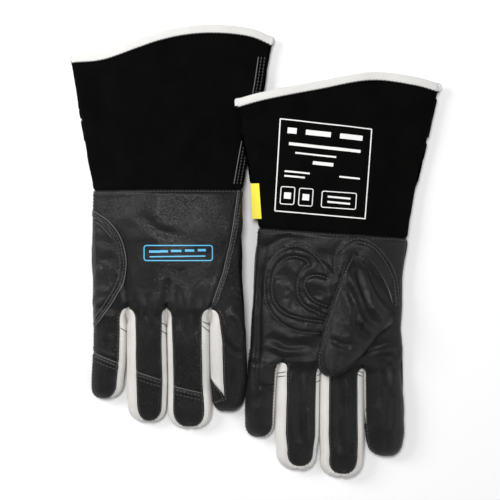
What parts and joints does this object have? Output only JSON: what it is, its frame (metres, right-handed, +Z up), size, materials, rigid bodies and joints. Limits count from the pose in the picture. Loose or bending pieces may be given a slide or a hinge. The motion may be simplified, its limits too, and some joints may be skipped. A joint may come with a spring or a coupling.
{
  "type": "pair of welding gloves",
  "caption": "Gauntlet welding gloves: dark grain leather hands with padded palms, white finger strips, flared suede cuffs with a bound opening and folding thumbs.",
  "frame": {"origin": "on the table, under the middle of the pair's overall box", "axes": "+Y along the gloves towards the cuff openings, +X towards the left glove, +Z up off the table"},
  "size_m": [0.323, 0.3896, 0.0331],
  "materials": {
    "grain_leather": "soft sheen",
    "cuff_suede": "matt suede",
    "white_leather": "matt",
    "binding_leather": "soft sheen",
    "pad_foam": "matt",
    "tab_fabric": "woven satin"
  },
  "bodies": {
    "right_hand": {"right_back_panel": "grain_leather", "right_cuff_back": "cuff_suede", "right_cuff_binding": "binding_leather", "right_cuff_palm": "cuff_suede", "right_heel_pad": "grain_leather", "right_index_middle_fork": "white_leather", "right_middle_ring_fork": "white_leather", "right_palm_foam": "pad_foam", "right_palm_panel": "grain_leather", "right_ring_pinky_fork": "white_leather", "right_side_patch": "grain_leather", "right_thenar_pad": "grain_leather"},
    "left_hand": {"left_back_panel": "grain_leather", "left_cuff_back": "cuff_suede", "left_cuff_binding": "binding_leather", "left_cuff_palm": "cuff_suede", "left_heel_pad": "grain_leather", "left_index_middle_fork": "white_leather", "left_middle_ring_fork": "white_leather", "left_palm_foam": "pad_foam", "left_palm_panel": "grain_leather", "left_ring_pinky_fork": "white_leather", "left_seam_tab": "tab_fabric", "left_side_patch": "grain_leather", "left_thenar_pad": "grain_leather"},
    "right_index": {"right_index_fourchette": "white_leather", "right_index_stall": "grain_leather"},
    "right_middle": {"right_middle_back": "grain_leather", "right_middle_cap": "grain_leather", "right_middle_fourchette": "white_leather", "right_middle_palm": "grain_leather"},
    "right_ring": {"right_ring_back": "grain_leather", "right_ring_cap": "grain_leather", "right_ring_fourchette": "white_leather", "right_ring_palm": "grain_leather"},
    "right_pinky": {"right_pinky_back": "grain_leather", "right_pinky_cap": "grain_leather", "right_pinky_fourchette": "white_leather", "right_pinky_palm": "grain_leather"},
    "right_thumb": {"right_thumb_back": "grain_leather", "right_thumb_palm": "grain_leather", "right_thumb_welt": "grain_leather"},
    "left_index": {"left_index_fourchette": "white_leather", "left_index_stall": "grain_leather"},
    "left_middle": {"left_middle_back": "grain_leather", "left_middle_cap": "grain_leather", "left_middle_fourchette": "white_leather", "left_middle_palm": "grain_leather"},
    "left_ring": {"left_ring_back": "grain_leather", "left_ring_cap": "grain_leather", "left_ring_fourchette": "white_leather", "left_ring_palm": "grain_leather"},
    "left_pinky": {"left_pinky_back": "grain_leather", "left_pinky_cap": "grain_leather", "left_pinky_fourchette": "white_leather", "left_pinky_palm": "grain_leather"},
    "left_thumb": {"left_thumb_back": "grain_leather", "left_thumb_palm": "grain_leather", "left_thumb_welt": "grain_leather"}
  },
  "joints": [
    {"name": "right_index_bend", "type": "hinge", "parent": "right_hand", "child": "right_index", "pos_m": [-0.0243, -0.0819, 0.01151], "axis": [0.9976, 0.0698, 0], "range_deg": [0, 75]},
    {"name": "right_middle_bend", "type": "hinge", "parent": "right_hand", "child": "right_middle", "pos_m": [-0.0593, -0.0864, 0.01067], "axis": [0.9998, 0.0175, 0], "range_deg": [0, 75]},
    {"name": "right_ring_bend", "type": "hinge", "parent": "right_hand", "child": "right_ring", "pos_m": [-0.0948, -0.0854, 0.00899], "axis": [1, 0, 0], "range_deg": [0, 75]},
    {"name": "right_pinky_bend", "type": "hinge", "parent": "right_hand", "child": "right_pinky", "pos_m": [-0.1268, -0.0799, 0.00088], "axis": [0.9969, -0.0785, 0], "range_deg": [0, 75]},
    {"name": "right_thumb_swing", "type": "hinge", "parent": "right_hand", "child": "right_thumb", "pos_m": [-0.0378, 0.0131, 0.01253], "axis": [0.6328, -0.7717, 0.0627], "range_deg": [0, 90]},
    {"name": "left_glove_lift", "type": "slide", "parent": "right_hand", "child": "left_hand", "axis": [0, 0, 1], "range_m": [0, 0.15]},
    {"name": "left_index_bend", "type": "hinge", "parent": "left_hand", "child": "left_index", "pos_m": [0.11115, -0.12277, 0.01778], "axis": [-1, 0, 0], "range_deg": [0, 75]},
    {"name": "left_middle_bend", "type": "hinge", "parent": "left_hand", "child": "left_middle", "pos_m": [0.07593, -0.12482, 0.01778], "axis": [-0.9994, -0.0349, 0], "range_deg": [0, 75]},
    {"name": "left_ring_bend", "type": "hinge", "parent": "left_hand", "child": "left_ring", "pos_m": [0.04058, -0.12134, 0.01778], "axis": [-0.9998, 0.0175, 0], "range_deg": [0, 75]},
    {"name": "left_pinky_bend", "type": "hinge", "parent": "left_hand", "child": "left_pinky", "pos_m": [0.00904, -0.11362, 0.01838], "axis": [-0.9914, 0.1305, 0], "range_deg": [0, 75]},
    {"name": "left_thumb_swing", "type": "hinge", "parent": "left_hand", "child": "left_thumb", "pos_m": [0.10431, -0.02706, 0.01961], "axis": [-0.5765, 0.8126, 0.086], "range_deg": [0, 90]}
  ]
}
